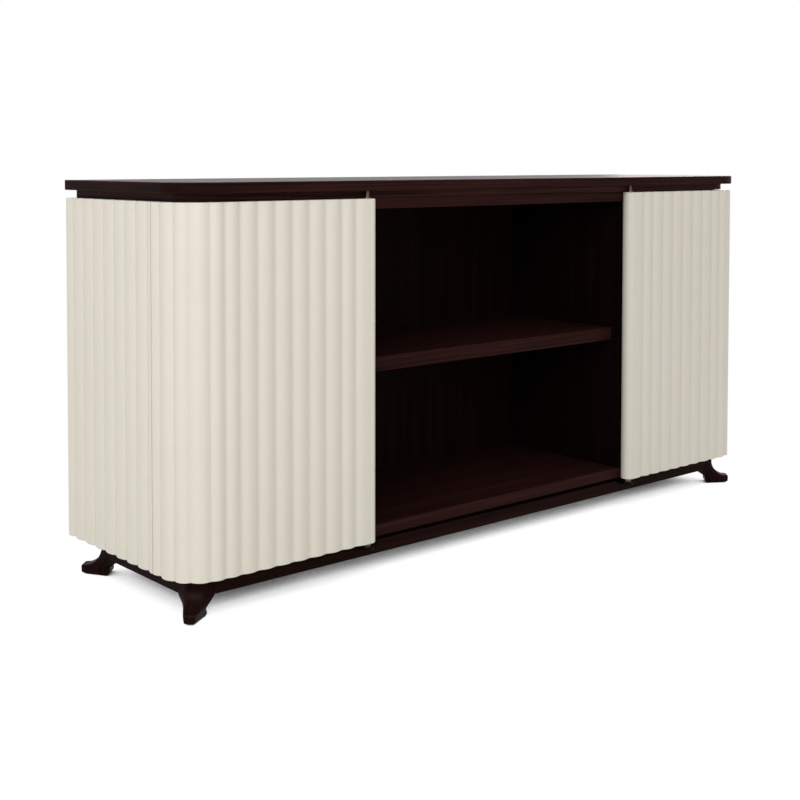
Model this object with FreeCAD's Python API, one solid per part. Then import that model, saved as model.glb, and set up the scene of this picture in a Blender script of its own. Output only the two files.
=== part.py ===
import FreeCAD, Part
import math
import os

# A sideboard: an open bay with one shelf between two cupboards. The reeded doors wrap the rounded
# front corners and turn on pivot pins at their inner edges. Millimetres. X runs to the right, Y to
# the back and Z up. The origin is on the floor, under the middle of the top slab.

# Top slab, and the recessed band and centre fascia under it
slab_width = 1604.0
slab_depth = 420.0
slab_thick = 19.0
slab_corner = 72.0
slab_edge_round = 1.5
slab_overhang = 2.0
sub_top_thick = 12.0
band_setback = 25.0
fascia_height = 35.5
fascia_thick = 20.0
fascia_edge_round = 2.0

# Base: feet, rails and the shadow groove over them
foot_height = 37.0
rail_height = 25.5
rail_thick = 40.0
rail_setback = 37.5
groove_height = 9.5
spacer_setback = 12.0
spacer_width = 40.0

# Case: floor panel, dividers, carcass sides and backs
floor_panel_thick = 22.0
bay_width = 744.0
divider_thick = 20.0
carcass_side_thick = 18.0
carcass_gap = 1.5
stop_lap = 25.0
back_inset = 45.0
back_thick = 10.0
cleat_size = 15.0

# Reeded doors and sides
door_height = 650.0
door_thick = 31.0
door_top_gap = 3.0
reed_depth = 6.0
plain_edge = 36.5
return_length = 35.5
seam_gap = 3.0
door_reed_shares = [0.87, 1, 1, 1, 1, 1, 1, 0.83, 0.77, 0.95, 0.8, 1.03]
last_reed_share = 0.5
side_reeds = 8

# Shelves and their pins
bay_shelf_thick = 28.5
bay_shelf_top = 414.0
bay_shelf_setback = 52.0
cupboard_shelf_thick = 18.0
cupboard_shelf_top = 400.0
cupboard_shelf_setback = 60.0
shelf_end_gap = 1.0
shelf_pin_diameter = 6.0
shelf_pin_length = 16.0
shelf_pin_inset = 40.0

# Pivot hinges
pin_diameter = 8.0
pin_seat_share = 0.6
pin_end_gap = 2.0
bush_diameter = 12.0
bush_length = 22.0
flange_diameter = 14.0
top_flange_thick = 2.5
running_clearance = 0.05
washer_diameter = 17.0
washer_thick = 2.5
thrust_gap = 0.3
plate_thick = 4.0
plate_width = 24.0
plate_seat = 30.0
plate_screw_pitch = 13.0
plate_screw_inset = 8.0

# Disc magnets and strikes
magnet_diameter = 14.0
magnet_thick = 5.0
strike_thick = 2.0
magnet_inset = 90.0

# Screws, dowels and bolts
screw_diameter = 4.0
screw_head_diameter = 8.0
screw_head_height = 2.4
screw_bite = 11.0
plate_screw_length = 16.0
side_screw_rows = 3
side_screw_inset = 60.0
slab_screw_columns = 5
slab_screw_inset = 70.0
dowel_diameter = 8.0
dowel_length = 24.0
dowel_pitch = 18.0
bolt_diameter = 8.0
bolt_inset = 24.0
bolt_grip_share = 0.7

# Feet: a block between the rails, a concave front sweep, a blunt toe and a rounded heel
block_size = 48.0
block_chamfer = 22.0
toe_reach = 41.0
toe_height = 19.0
heel_reach = 16.0
heel_half = 21.0
ankle_half = 15.0
sole_half = 17.0
tip_half = 11.0
tip_bow_share = 0.93
sweep_rise = 6.0
sweep_share = 0.145
waist_share = 0.04
round_share = 0.2
toe_top_share = 0.7
toe_round_share = 0.9
tip_high_share = 0.8
tip_low_share = 0.3
sole_front_share = 0.66
sole_back_share = 0.58
heel_low_share = 0.55
ankle_share = 0.5
taper_foot_share = 0.42
taper_half_share = 0.95

# Cuts run past the faces that they open by this much
overrun = 1.0

# Levels, from the floor up
rail_z = foot_height
groove_z = rail_z + rail_height
case_z = groove_z + groove_height
floor_z = case_z + floor_panel_thick
door_top_z = case_z + door_height
sub_top_z = door_top_z + door_top_gap
slab_z = sub_top_z + sub_top_thick

# Planes of the case. The crests of the reeds lie just inside the slab's edge.
front_y = -slab_depth / 2
back_y = slab_depth / 2
crest_y = front_y + slab_overhang
crest_x = slab_width / 2 - slab_overhang
crest_radius = slab_corner - slab_overhang
corner_x = crest_x - crest_radius
corner_y = crest_y + crest_radius
case_front_y = crest_y + door_thick + carcass_gap
case_side_x = crest_x - door_thick - carcass_gap
seam_y = corner_y + return_length
side_start_y = seam_y + seam_gap
stop_y = seam_y - stop_lap
bay_x = bay_width / 2
divider_x = bay_x + divider_thick
inner_side_x = case_side_x - carcass_side_thick
back_face_y = back_y - back_inset - back_thick
rail_x = crest_x - rail_setback
rail_front_y = crest_y + rail_setback
rail_back_y = back_y - rail_setback

# The pivot stands at the middle of the bullnose on a door's inner edge
bullnose = door_thick / 2
pivot_x = bay_x + bullnose
pivot_y = crest_y + bullnose


def at(x, y, z=0):
    return FreeCAD.Vector(x, y, z)


def board(x0, x1, y0, y1, z0, z1):
    """A plain board between two corners."""
    return Part.makeBox(x1 - x0, y1 - y0, z1 - z0, at(x0, y0, z0))


def rod(radius, start, end):
    """A round bar from one point to another."""
    run = end - start
    return Part.makeCylinder(radius, run.Length, start, run)


def across(shape):
    """The same piece on the other side of the middle plane."""
    return shape.mirror(at(0, 0), at(1, 0))


def both(shape):
    """A piece and its mirror image, as a list."""
    return [shape, across(shape)]


def let_in(host, pieces):
    """The host with room cut for the pieces that are let into it."""
    return host.cut(Part.makeCompound(pieces))


def prism(edges, z0, z1):
    """The outline drawn by plan edges, carried up from z0 to z1."""
    face = Part.Face(Part.Wire(Part.__sortEdges__(edges)))
    face.translate(at(0, 0, z0))
    return face.extrude(at(0, 0, z1 - z0))


def line(p, q):
    return Part.LineSegment(p, q).toShape()


def bulged(p, q, share):
    """An arc from p to q whose rise over the chord is a share of it, to the left of the way in X and Z."""
    chord = q - p
    rise = at(-chord.z, 0, chord.x) * share
    return Part.Arc(p, (p + q) * 0.5 + rise, q).toShape()


def quarter(centre, radius, side):
    """A quarter arc for a front corner, on the right for side 1 and on the left for side -1."""
    slant = radius * math.sqrt(0.5)
    flank = centre + at(side * radius, 0)
    middle = centre + at(side * slant, -slant)
    return Part.Arc(flank, middle, centre + at(0, -radius)).toShape()


def rounded_board(half, y0, y1, radius, z0, z1):
    """A board across the whole case with two rounded front corners."""
    left = at(radius - half, y0 + radius)
    right = at(half - radius, y0 + radius)
    edges = [
        quarter(left, radius, -1),
        line(at(radius - half, y0), at(half - radius, y0)),
        quarter(right, radius, 1),
        line(at(half, y0 + radius), at(half, y1)),
        line(at(half, y1), at(-half, y1)),
        line(at(-half, y1), at(-half, y0 + radius)),
    ]
    return prism(edges, z0, z1)


def screw(head, way, length):
    """A countersunk wood screw: its head lies at the point head and it drives along way."""
    neck = head + way * screw_head_height
    cone = Part.makeCone(screw_head_diameter / 2, screw_diameter / 2, screw_head_height, head, way)
    shank = rod(screw_diameter / 2, neck, head + way * length)
    return cone.fuse(shank).removeSplitter()


def spread(first, last, count):
    """Evenly spaced places from first to last."""
    step = (last - first) / (count - 1)
    return [first + step * i for i in range(count)]


# Reeded skin

valley_radius = crest_radius - reed_depth
first_valley_x = pivot_x + plain_edge
front_run = corner_x - first_valley_x
corner_run = valley_radius * math.pi / 2
door_run = front_run + corner_run + return_length
door_reed = door_run / (sum(door_reed_shares) + last_reed_share)


def skin_point(station, out):
    """A point of the right door's skin, a distance out from the line of the valleys. Stations start at
    the valley beside the bullnose, run along the front, round the corner and back along the side."""
    if station <= front_run:
        return at(first_valley_x + station, crest_y + reed_depth - out)
    turn = station - front_run
    if turn <= corner_run:
        angle = turn / valley_radius
        reach = valley_radius + out
        return at(corner_x + reach * math.sin(angle), corner_y - reach * math.cos(angle))
    return at(crest_x - reed_depth + out, corner_y + turn - corner_run)


def door_reed_arc(start, end):
    """One convex reed of the door between two stations, valley to valley."""
    crest = skin_point((start + end) / 2, reed_depth)
    return Part.Arc(skin_point(start, 0), crest, skin_point(end, 0))


def first_half(arc):
    middle = (arc.FirstParameter + arc.LastParameter) / 2
    return arc.toShape(arc.FirstParameter, middle)


def second_half(arc):
    middle = (arc.FirstParameter + arc.LastParameter) / 2
    return arc.toShape(middle, arc.LastParameter)


def door_outline():
    """Plan of the right door: bullnose, plain edge, reeds round the corner, seam, and a smooth back."""
    back_door_y = crest_y + door_thick
    back_door_x = crest_x - door_thick
    plain_end = first_valley_x - plain_edge / 2
    edges = [
        Part.Arc(at(pivot_x, back_door_y), at(bay_x, pivot_y), at(pivot_x, crest_y)).toShape(),
        line(at(pivot_x, crest_y), at(plain_end, crest_y)),
        second_half(door_reed_arc(-plain_edge, 0)),
    ]
    station = 0
    for share in door_reed_shares:
        edges.append(door_reed_arc(station, station + share * door_reed).toShape())
        station += share * door_reed
    edges += [
        first_half(door_reed_arc(station, station + door_reed)),
        line(at(crest_x, seam_y), at(back_door_x, seam_y)),
        line(at(back_door_x, seam_y), at(back_door_x, corner_y)),
        quarter(at(corner_x, corner_y), crest_radius - door_thick, 1),
        line(at(corner_x, back_door_y), at(pivot_x, back_door_y)),
    ]
    return edges


def door(bushes, strikes):
    """The right door, bored for its bushes and its strikes."""
    return let_in(prism(door_outline(), case_z, door_top_z), bushes + strikes)


def reeded_side(screws):
    """The fixed reeded side behind the right door. It begins and ends on the crest of a reed."""
    pitch = (back_y - side_start_y) / side_reeds
    valley_x = crest_x - reed_depth

    def reed(middle):
        start = at(valley_x, middle - pitch / 2)
        return Part.Arc(start, at(crest_x, middle), at(valley_x, middle + pitch / 2))

    edges = [second_half(reed(side_start_y))]
    for i in range(1, side_reeds):
        edges.append(reed(side_start_y + pitch * i).toShape())
    edges += [
        first_half(reed(back_y)),
        line(at(crest_x, back_y), at(case_side_x, back_y)),
        line(at(case_side_x, back_y), at(case_side_x, side_start_y)),
        line(at(case_side_x, side_start_y), at(crest_x, side_start_y)),
    ]
    return let_in(prism(edges, case_z, door_top_z), screws)


# Pivot hinges, for the right door

def top_pivot_pin():
    """A pin driven up into the slab, standing down into the door's top bush."""
    low = door_top_z - bush_length + pin_end_gap
    high = slab_z + slab_thick * pin_seat_share
    return rod(pin_diameter / 2, at(pivot_x, pivot_y, low), at(pivot_x, pivot_y, high))


def bottom_pivot_pin():
    """A pin fixed in the pivot plate, standing up into the door's bottom bush."""
    low = groove_z - plate_thick
    high = case_z + bush_length - pin_end_gap
    return rod(pin_diameter / 2, at(pivot_x, pivot_y, low), at(pivot_x, pivot_y, high))


def bush(door_end, way, flange_thick):
    """A flanged sleeve let into one end of the door. way is 1 where the door lies above its end."""
    inner = at(pivot_x, pivot_y, door_end + way * bush_length)
    face = at(pivot_x, pivot_y, door_end)
    outer = at(pivot_x, pivot_y, door_end - way * flange_thick)
    bore = rod(pin_diameter / 2 + running_clearance, outer, inner)
    body = rod(bush_diameter / 2, face, inner).fuse(rod(flange_diameter / 2, outer, face))
    return body.cut(bore)


def door_bushes():
    low_flange = groove_height - washer_thick - thrust_gap
    return [bush(door_top_z, -1, top_flange_thick), bush(case_z, 1, low_flange)]


def bush_rooms():
    """The plain round holes that the bushes' sleeves fill."""
    rooms = []
    for end, way in ((door_top_z, -1), (case_z, 1)):
        start = at(pivot_x, pivot_y, end - way * overrun)
        rooms.append(rod(bush_diameter / 2, start, at(pivot_x, pivot_y, end + way * bush_length)))
    return rooms


def thrust_washer():
    """A washer on the pivot plate, under the flange of the bottom bush."""
    low = at(pivot_x, pivot_y, groove_z)
    high = at(pivot_x, pivot_y, groove_z + washer_thick)
    hole = rod(pin_diameter / 2 + running_clearance, low, high)
    return rod(washer_diameter / 2, low, high).cut(hole)


def pivot_plate_blank():
    """A steel tongue with a round front end, let flush into the top of the front rail."""
    low = groove_z - plate_thick
    half = plate_width / 2
    nose = rod(half, at(pivot_x, pivot_y, low), at(pivot_x, pivot_y, groove_z))
    tail_y = rail_front_y + plate_seat
    tail = board(pivot_x - half, pivot_x + half, pivot_y, tail_y, low, groove_z)
    return nose.fuse(tail).removeSplitter()


def plate_screws():
    last = rail_front_y + plate_seat - plate_screw_inset
    heads = [at(pivot_x, last - plate_screw_pitch * i, groove_z) for i in range(2)]
    return [screw(head, at(0, 0, -1), plate_screw_length) for head in heads]


# Disc magnets in the carcass sides and strikes in the doors, for the right door

def disc_heights():
    return (case_z + magnet_inset, door_top_z - magnet_inset)


def magnets():
    y = seam_y - stop_lap / 2
    radius = magnet_diameter / 2
    return [rod(radius, at(case_side_x - magnet_thick, y, z), at(case_side_x, y, z)) for z in disc_heights()]


def strikes():
    y = seam_y - stop_lap / 2
    radius = magnet_diameter / 2
    face_x = crest_x - door_thick
    return [rod(radius, at(face_x, y, z), at(face_x + strike_thick, y, z)) for z in disc_heights()]


# Screws, dowels, bolts and shelf pins

def side_screws():
    """Screws from inside the right cupboard, through the carcass side into the reeded side."""
    length = carcass_side_thick + screw_bite
    places = []
    for z in spread(floor_z + side_screw_inset, door_top_z - side_screw_inset, side_screw_rows):
        for y in (side_start_y + side_screw_inset, back_face_y - side_screw_inset):
            places.append(at(inner_side_x, y, z))
    return [screw(place, at(1, 0, 0), length) for place in places]


def slab_screws():
    """Screws up through the sub-top into the slab, in two rows."""
    length = sub_top_thick + screw_bite
    far = inner_side_x - slab_screw_inset
    pieces = []
    for x in spread(-far, far, slab_screw_columns):
        for y in (case_front_y + slab_screw_inset, back_face_y - slab_screw_inset):
            pieces.append(screw(at(x, y, sub_top_z), at(0, 0, 1), length))
    return pieces


def rail_dowels():
    """Two dowels at each end of each rail, half in the rail and half in the foot's block."""
    half = at(dowel_length / 2, 0)
    turned = at(0, dowel_length / 2)
    z = rail_z + rail_height / 2
    middle = rail_thick / 2
    pieces = []
    for shift in (-dowel_pitch / 2, dowel_pitch / 2):
        for x in (block_size - rail_x, rail_x - block_size):
            for y in (rail_front_y + middle, rail_back_y - middle):
                joint = at(x, y + shift, z)
                pieces.append(rod(dowel_diameter / 2, joint - half, joint + half))
        for x in (middle - rail_x, rail_x - middle):
            for y in (rail_front_y + block_size, rail_back_y - block_size):
                joint = at(x + shift, y, z)
                pieces.append(rod(dowel_diameter / 2, joint - turned, joint + turned))
    return pieces


def foot_bolts():
    """One bolt from each foot's block up through the spacer into the floor panel."""
    low = groove_z - rail_height * bolt_grip_share
    high = case_z + floor_panel_thick * bolt_grip_share
    pieces = []
    for x in (bolt_inset - rail_x, rail_x - bolt_inset):
        for y in (rail_front_y + bolt_inset, rail_back_y - bolt_inset):
            pieces.append(rod(bolt_diameter / 2, at(x, y, low), at(x, y, high)))
    return pieces


def shelf_pins(wall_x, way, front, back, under_z):
    """Two pins in one wall, half let in, with their tops under a shelf. way points out of the wall."""
    reach = at(shelf_pin_length / 2 * way, 0)
    z = under_z - shelf_pin_diameter / 2
    walls = [at(wall_x, y, z) for y in (front, back)]
    return [rod(shelf_pin_diameter / 2, wall - reach, wall + reach) for wall in walls]


def bay_pins():
    front = crest_y + bay_shelf_setback + shelf_pin_inset
    right = shelf_pins(bay_x, -1, front, back_face_y - shelf_pin_inset, bay_shelf_top - bay_shelf_thick)
    return right + [across(pin) for pin in right]


def cupboard_pins():
    """Pins for the right cupboard's shelf, in the divider and in the carcass side."""
    under_z = cupboard_shelf_top - cupboard_shelf_thick
    back = back_face_y - shelf_pin_inset
    front = stop_y + shelf_pin_inset
    walls = ((divider_x, 1), (inner_side_x, -1))
    return [pin for x, way in walls for pin in shelf_pins(x, way, front, back, under_z)]


# Boards of the case

def top_slab(pieces):
    top = slab_z + slab_thick
    slab = rounded_board(slab_width / 2, front_y, back_y, slab_corner, slab_z, top)
    rim = [edge for edge in slab.Edges if edge.BoundBox.ZMin > top - slab_edge_round]
    return let_in(slab.makeFillet(slab_edge_round, rim), pieces)


def sub_top(pieces):
    half = slab_width / 2 - band_setback
    band = rounded_board(half, front_y + band_setback, back_y, slab_corner - band_setback, sub_top_z, slab_z)
    return let_in(band, pieces)


def centre_fascia():
    """A board between the dividers, flush with the recessed band over it."""
    face_y = front_y + band_setback
    low = slab_z - fascia_height
    plank = board(-bay_x, bay_x, face_y, face_y + fascia_thick, low, sub_top_z)
    front = [e for e in plank.Edges if e.BoundBox.YMax < face_y + fascia_edge_round]
    lower = [e for e in front if e.BoundBox.ZMax < low + fascia_edge_round]
    return plank.makeFillet(fascia_edge_round, lower)


def side_packer():
    """A thin strip between the top of a fixed side and the band, flush with the band's face."""
    face_x = slab_width / 2 - band_setback
    return board(case_side_x, face_x, side_start_y, back_y, door_top_z, sub_top_z)


def floor_panel(pieces):
    radius = crest_radius - door_thick - carcass_gap
    return let_in(rounded_board(case_side_x, case_front_y, back_y, radius, case_z, floor_z), pieces)


def divider(pieces):
    return let_in(board(bay_x, divider_x, case_front_y, back_y, floor_z, sub_top_z), pieces)


def carcass_side(pieces):
    return let_in(board(inner_side_x, case_side_x, stop_y, back_y, floor_z, sub_top_z), pieces)


def back_panel(x0, x1):
    return board(x0, x1, back_face_y, back_face_y + back_thick, floor_z, sub_top_z)


def back_cleats():
    """Upright strips behind the back panels, against the dividers and the carcass sides."""
    y = back_face_y + back_thick
    strips = []
    for x in (bay_x - cleat_size, divider_x, inner_side_x - cleat_size):
        strips.append(board(x, x + cleat_size, y, y + cleat_size, floor_z, sub_top_z))
    return strips + [across(strip) for strip in strips]


def bay_shelf():
    half = bay_x - shelf_end_gap
    front = crest_y + bay_shelf_setback
    low = bay_shelf_top - bay_shelf_thick
    return board(-half, half, front, back_face_y, low, bay_shelf_top)


def cupboard_shelf():
    left = divider_x + shelf_end_gap
    right = inner_side_x - shelf_end_gap
    low = cupboard_shelf_top - cupboard_shelf_thick
    front = crest_y + cupboard_shelf_setback
    return board(left, right, front, back_face_y, low, cupboard_shelf_top)


# Base

def spacer_strips(pieces):
    """Four strips set back over the rails, which leave the shadow groove under the case."""
    x = rail_x - spacer_setback
    y0 = rail_front_y + spacer_setback
    y1 = rail_back_y - spacer_setback
    inner_y0 = y0 + spacer_width
    inner_y1 = y1 - spacer_width
    strips = [board(-x, x, y0, inner_y0, groove_z, case_z), board(-x, x, inner_y1, y1, groove_z, case_z)]
    strips += both(board(x - spacer_width, x, inner_y0, inner_y1, groove_z, case_z))
    return [let_in(strip, pieces) for strip in strips]


def long_rail(y, pieces):
    half = rail_x - block_size
    return let_in(board(-half, half, y, y + rail_thick, rail_z, groove_z), pieces)


def side_rail(pieces):
    front = rail_front_y + block_size
    back = rail_back_y - block_size
    return let_in(board(rail_x - rail_thick, rail_x, front, back, rail_z, groove_z), pieces)


# Feet. The carved part is drawn in its own frame, X outwards along the diagonal from the middle of
# the block's chamfered face, and then turned to the front left corner.

chamfer_half = block_chamfer * math.sqrt(0.5)
block_middle = block_size - block_chamfer / 2
sweep_z = foot_height + sweep_rise


def foot_side_profile():
    """The side view: concave sweep from the chamfer to the toe, blunt tip, flat sole, round heel."""
    top = at(0, 0, sweep_z)
    toe_top = at(toe_reach * toe_top_share, 0, toe_height)
    toe_front = at(toe_reach * toe_round_share, 0, toe_height)
    tip_high = at(toe_reach, 0, toe_height * tip_high_share)
    tip_low = at(toe_reach, 0, toe_height * tip_low_share)
    sole_front = at(toe_reach * sole_front_share, 0, 0)
    sole_back = at(-heel_reach * sole_back_share, 0, 0)
    heel_low = at(-heel_reach, 0, toe_height * heel_low_share)
    heel_top = at(-heel_reach, 0, sweep_z)
    return [
        bulged(top, toe_top, -sweep_share),
        line(toe_top, toe_front),
        bulged(toe_front, tip_high, round_share),
        line(tip_high, tip_low),
        bulged(tip_low, sole_front, round_share),
        line(sole_front, sole_back),
        bulged(sole_back, heel_low, round_share),
        line(heel_low, heel_top),
        line(heel_top, top),
    ]


def foot_front_profile():
    """The front view, drawn in X and Z: wide at the chamfer, narrow at the ankle, a fuller toe."""
    heights = (sweep_z, foot_height * ankle_share, toe_height * heel_low_share, 0)
    halves = (chamfer_half, ankle_half, heel_half, sole_half)
    right = [at(half, 0, z) for half, z in zip(halves, heights)]
    left = [at(-half, 0, z) for half, z in zip(halves, heights)]
    bends = (-waist_share, 0, round_share)
    edges = [line(right[-1], left[-1]), line(left[0], right[0])]
    for i, bend in enumerate(bends):
        if bend:
            edges.append(bulged(right[i], right[i + 1], bend))
            edges.append(bulged(left[i], left[i + 1], -bend))
        else:
            edges.append(line(right[i], right[i + 1]))
            edges.append(line(left[i], left[i + 1]))
    return edges


def foot_plan():
    """The view from above: wide at the heel, narrower at the toe, with a slightly bowed tip."""
    heel = [at(-heel_reach, side * heel_half) for side in (1, -1)]
    tip = [at(toe_reach * tip_bow_share, side * tip_half) for side in (1, -1)]
    bow = Part.Arc(tip[0], at(toe_reach, 0), tip[1]).toShape()
    return [line(heel[0], tip[0]), bow, line(tip[1], heel[1]), line(heel[1], heel[0])]


def foot_carving():
    """The side view, the front view and the plan, cut into one another."""
    widest = max(chamfer_half, heel_half) + overrun
    side = Part.Face(Part.Wire(Part.__sortEdges__(foot_side_profile())))
    side.translate(at(0, -widest))
    side = side.extrude(at(0, widest * 2))
    front = Part.Face(Part.Wire(Part.__sortEdges__(foot_front_profile())))
    front.rotate(at(0, 0), at(0, 0, 1), 90)
    front.translate(at(-heel_reach - overrun, 0))
    front = front.extrude(at(heel_reach + toe_reach + overrun * 2, 0))
    return side.common(front).common(prism(foot_plan(), 0, sweep_z))


def five_sided(half, side_u, side_half, back_u, z):
    """A closed outline: a straight front face, two side corners and a back corner."""
    points = [at(0, half, z), at(side_u, side_half, z), at(back_u, 0, z)]
    points += [at(side_u, -side_half, z), at(0, -half, z)]
    return Part.makePolygon(points + points[:1])


def foot_block():
    """The block between the rail ends, and under it a taper down to the heel."""
    side_u = -(block_size - block_chamfer) * math.sqrt(0.5)
    side_half = block_size * math.sqrt(0.5)
    back_u = -block_middle * math.sqrt(2)
    plan = five_sided(chamfer_half, side_u, side_half, back_u, rail_z)
    block = Part.Face(plan).extrude(at(0, 0, rail_height))
    front, side = ankle_half * taper_half_share, heel_half * taper_half_share
    small = five_sided(front, -heel_reach / 2, side, -heel_reach, foot_height * taper_foot_share)
    return block.fuse(Part.makeLoft([small, plan], True, True))


def foot(pieces):
    """The front left foot, with room for its dowels and its bolt."""
    carved = foot_block().fuse(foot_carving()).removeSplitter()
    carved.rotate(at(0, 0), at(0, 0, 1), 225)
    carved.translate(at(block_chamfer / 2 - rail_x, rail_front_y + block_chamfer / 2))
    return let_in(carved, pieces)


def to_back(shape):
    """The same piece at the back of the base."""
    return shape.mirror(at(0, (rail_front_y + rail_back_y) / 2), at(0, 1))


def build():
    """Every node of the sideboard, by name, as a list of its solids."""
    pins = bay_pins()
    cupboard = cupboard_pins()
    heads = slab_screws()
    fixings = side_screws()
    dowels = rail_dowels()
    bolts = foot_bolts()
    plate = pivot_plate_blank()
    drives = plate_screws()
    top_pin = top_pivot_pin()
    low_pin = bottom_pivot_pin()
    plates = both(let_in(plate, drives + [low_pin]))
    mortises = both(plate.fuse(drives))
    right_door = door(bush_rooms(), strikes())
    right_side = reeded_side(fixings)
    right_divider = divider(pins + cupboard)
    right_carcass = carcass_side(cupboard + fixings + magnets())
    right_back = back_panel(divider_x, inner_side_x)
    right_rail = side_rail(dowels)
    front_foot = foot(dowels + bolts)
    bushes = door_bushes()
    return {
        "top_slab": [top_slab(heads + both(top_pin))],
        "sub_top": [sub_top(heads)],
        "centre_fascia": [centre_fascia()],
        "side_packers": both(side_packer()),
        "floor_panel": [floor_panel(bolts)],
        "left_divider": [across(right_divider)],
        "right_divider": [right_divider],
        "left_carcass_side": [across(right_carcass)],
        "right_carcass_side": [right_carcass],
        "left_reeded_side": [across(right_side)],
        "right_reeded_side": [right_side],
        "centre_back_panel": [back_panel(-bay_x, bay_x)],
        "left_back_panel": [across(right_back)],
        "right_back_panel": [right_back],
        "back_cleats": back_cleats(),
        "bay_shelf": [bay_shelf()],
        "left_cupboard_shelf": [across(cupboard_shelf())],
        "right_cupboard_shelf": [cupboard_shelf()],
        "bay_shelf_pins": pins,
        "cupboard_shelf_pins": cupboard + [across(pin) for pin in cupboard],
        "spacer_strips": spacer_strips(bolts),
        "front_rail": [long_rail(rail_front_y, dowels + mortises)],
        "back_rail": [long_rail(rail_back_y - rail_thick, dowels)],
        "left_rail": [across(right_rail)],
        "right_rail": [right_rail],
        "front_left_foot": [front_foot],
        "front_right_foot": [across(front_foot)],
        "back_left_foot": [to_back(front_foot)],
        "back_right_foot": [across(to_back(front_foot))],
        "rail_dowels": dowels,
        "foot_bolts": bolts,
        "slab_screws": heads,
        "side_screws": fixings + [across(piece) for piece in fixings],
        "left_door": [across(right_door)],
        "right_door": [right_door],
        "left_door_bushes": [across(piece) for piece in bushes],
        "right_door_bushes": bushes,
        "left_door_strikes": [across(piece) for piece in strikes()],
        "right_door_strikes": strikes(),
        "door_magnets": magnets() + [across(piece) for piece in magnets()],
        "top_pivot_pins": both(top_pin),
        "bottom_pivot_pins": both(low_pin),
        "pivot_plates": plates,
        "plate_screws": drives + [across(piece) for piece in drives],
        "thrust_washers": both(thrust_washer()),
    }


os.makedirs("parts", exist_ok=True)
for name, pieces in build().items():
    solids = [solid for piece in pieces for solid in piece.Solids]
    shape = solids[0] if len(solids) == 1 else Part.makeCompound(solids)
    shape.exportStep("parts/" + name + ".step")
    print(name, len(solids), round(shape.Volume), shape.isValid())
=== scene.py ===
# %% [markdown]
# # A sideboard with reeded doors
#
# The solids of the sideboard come from a CAD model, and this lesson gives them their looks. Each board,
# door, foot and pin is made again as a surface with soft edges, because the real ones are sanded and
# lacquered, and a sharp edge catches no light. Everything is in metres, in the CAD model's own frame:
# X runs to the right, Y to the back and Z up, with the floor at zero.

# %% Load the CAD model
import math

import bpy
import numpy as np
from mathutils import Matrix, Vector


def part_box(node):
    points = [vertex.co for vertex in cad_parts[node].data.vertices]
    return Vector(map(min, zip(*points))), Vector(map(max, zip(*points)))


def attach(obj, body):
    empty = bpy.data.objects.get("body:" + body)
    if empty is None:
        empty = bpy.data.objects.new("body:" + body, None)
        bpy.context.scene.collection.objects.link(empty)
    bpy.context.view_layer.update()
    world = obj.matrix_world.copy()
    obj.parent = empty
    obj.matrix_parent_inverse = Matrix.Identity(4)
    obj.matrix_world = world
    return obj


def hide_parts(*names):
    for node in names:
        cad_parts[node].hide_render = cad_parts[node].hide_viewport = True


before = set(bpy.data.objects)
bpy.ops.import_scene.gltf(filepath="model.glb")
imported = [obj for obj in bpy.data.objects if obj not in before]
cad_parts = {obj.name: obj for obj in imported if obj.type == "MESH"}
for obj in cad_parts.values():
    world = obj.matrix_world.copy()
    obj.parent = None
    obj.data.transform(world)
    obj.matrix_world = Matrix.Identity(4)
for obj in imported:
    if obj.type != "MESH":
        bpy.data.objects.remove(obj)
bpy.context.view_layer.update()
mm = 0.001

# %% [markdown]
# ## Shader maths as plain expressions
#
# A finish is worked out from noise, and the sums are easier to read as sums than as nodes. A Wire is one
# output of a node. Adding or multiplying Wires adds Math nodes, and a number may stand on either side.

# %% Wires
class Wire:
    """One output socket of a node tree. Arithmetic on it adds Math nodes."""

    def __init__(self, nodes, socket):
        self.nodes = nodes
        self.socket = socket

    def maths(self, operation, first, second):
        return self.nodes.add("ShaderNodeMath", {"operation": operation}, {0: first, 1: second})

    def __add__(self, other):
        return self.maths("ADD", self, other)

    def __radd__(self, other):
        return self.maths("ADD", other, self)

    def __sub__(self, other):
        return self.maths("SUBTRACT", self, other)

    def __rsub__(self, other):
        return self.maths("SUBTRACT", other, self)

    def __mul__(self, other):
        return self.maths("MULTIPLY", self, other)

    def __rmul__(self, other):
        return self.maths("MULTIPLY", other, self)

    def clipped(self):
        """The value held between 0 and 1."""
        return self.nodes.add("ShaderNodeClamp", {}, {0: self})


# %% [markdown]
# ## Any other node
#
# Noise, mixes and bumps all come from one method, Nodes.add. It makes a node of any type, sets its settings
# and then fills its sockets with values or Wires. The methods after it are short names for the four nodes
# that the finishes use most.

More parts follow.
